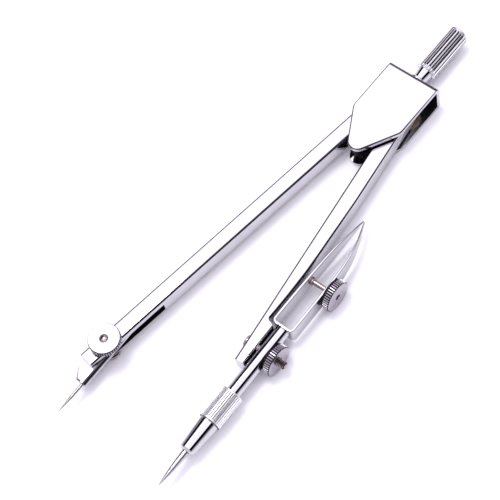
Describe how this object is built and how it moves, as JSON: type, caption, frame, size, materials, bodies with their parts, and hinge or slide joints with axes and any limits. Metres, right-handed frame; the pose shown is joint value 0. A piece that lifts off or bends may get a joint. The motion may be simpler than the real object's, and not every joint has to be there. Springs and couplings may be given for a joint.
{
  "type": "drafting compass",
  "caption": "Nickel-plated drafting compass with a geared head, a jointed needle leg and a turn-about insert carrying a ruling pen and a steel point.",
  "frame": {"origin": "on the yoke's back face, midway between the two leg pivots, where the compass rests when it lies flat", "axes": "+Y along the centre line towards the handle, +X towards the pen leg, +Z out of the front plate"},
  "size_m": [0.0518, 0.1716, 0.0109],
  "materials": {
    "plated_steel": "polished nickel plate",
    "handle_steel": "polished, fluted",
    "nut_steel": "satin plate with a cut knurl",
    "screw_steel": "turned, bright",
    "point_steel": "ground, bright",
    "washer_brass": "plain, turned"
  },
  "bodies": {
    "head": {"head_yoke": "plated_steel", "handle": "handle_steel", "handle_stud": "plated_steel", "stud_nut": "screw_steel", "pivot_screw_left": "screw_steel", "pivot_screw_right": "screw_steel", "washer_front_left": "washer_brass", "washer_front_right": "washer_brass", "washer_back_left": "washer_brass", "washer_back_right": "washer_brass"},
    "needle_leg": {"needle_leg": "plated_steel", "knee_screw": "screw_steel", "knee_washer": "washer_brass"},
    "knee_nut": {"knee_nut": "nut_steel"},
    "needle_holder": {"needle_holder": "plated_steel"},
    "needle": {"needle": "point_steel"},
    "pen_leg": {"pen_leg": "plated_steel", "clamp_screw": "screw_steel", "clamp_washer": "washer_brass"},
    "clamp_nut": {"clamp_nut": "nut_steel"},
    "insert": {"insert_shank": "plated_steel", "pen_fork": "plated_steel", "adjusting_screw": "screw_steel"},
    "adjusting_nut": {"adjusting_nut": "nut_steel"},
    "chuck": {"knurled_sleeve": "nut_steel", "nose_cone": "plated_steel", "collet": "point_steel"},
    "point": {"compass_point": "point_steel"}
  },
  "joints": [
    {"name": "pen_leg_hinge", "type": "hinge", "parent": "head", "child": "pen_leg", "pos_m": [0.0044, 0, 0.00505], "axis": [0, 0, 1], "range_deg": [-7.6, 35]},
    {"name": "needle_leg_hinge", "type": "hinge", "parent": "head", "child": "needle_leg", "pos_m": [-0.0044, 0, 0.00505], "axis": [0, 0, -1], "range_deg": [-7.6, 35]},
    {"name": "knee_hinge", "type": "hinge", "parent": "needle_leg", "child": "needle_holder", "pos_m": [-0.01968, -0.11449, 0.00505], "axis": [0, 0, 1], "range_deg": [-20, 45]},
    {"name": "knee_nut_turn", "type": "hinge", "parent": "needle_leg", "child": "knee_nut", "pos_m": [-0.01968, -0.11449, 0.0092], "axis": [0, 0, 1], "continuous": true},
    {"name": "needle_slide", "type": "slide", "parent": "needle_holder", "child": "needle", "axis": [0.0087, -1, 0], "range_m": [0, 0.006]},
    {"name": "insert_turn", "type": "hinge", "parent": "pen_leg", "child": "insert", "pos_m": [0.01962, -0.0887, 0.00505], "axis": [0.9997, 0.0244, 0], "continuous": true},
    {"name": "clamp_nut_turn", "type": "hinge", "parent": "pen_leg", "child": "clamp_nut", "pos_m": [0.02342, -0.08861, 0.00505], "axis": [0.9997, 0.0244, 0], "continuous": true},
    {"name": "adjusting_nut_turn", "type": "hinge", "parent": "insert", "child": "adjusting_nut", "pos_m": [0.02448, -0.06247, 0.00505], "axis": [0.9997, 0.0244, 0], "continuous": true},
    {"name": "chuck_turn", "type": "hinge", "parent": "insert", "child": "chuck", "pos_m": [0.02016, -0.11069, 0.00505], "axis": [0.0244, -0.9997, 0], "continuous": true},
    {"name": "point_slide", "type": "slide", "parent": "chuck", "child": "point", "axis": [0.0244, -0.9997, 0], "range_m": [-0.003, 0.004]}
  ],
  "couplings": [
    {"joint": "needle_leg_hinge", "follows": "pen_leg_hinge", "ratio": 1}
  ]
}
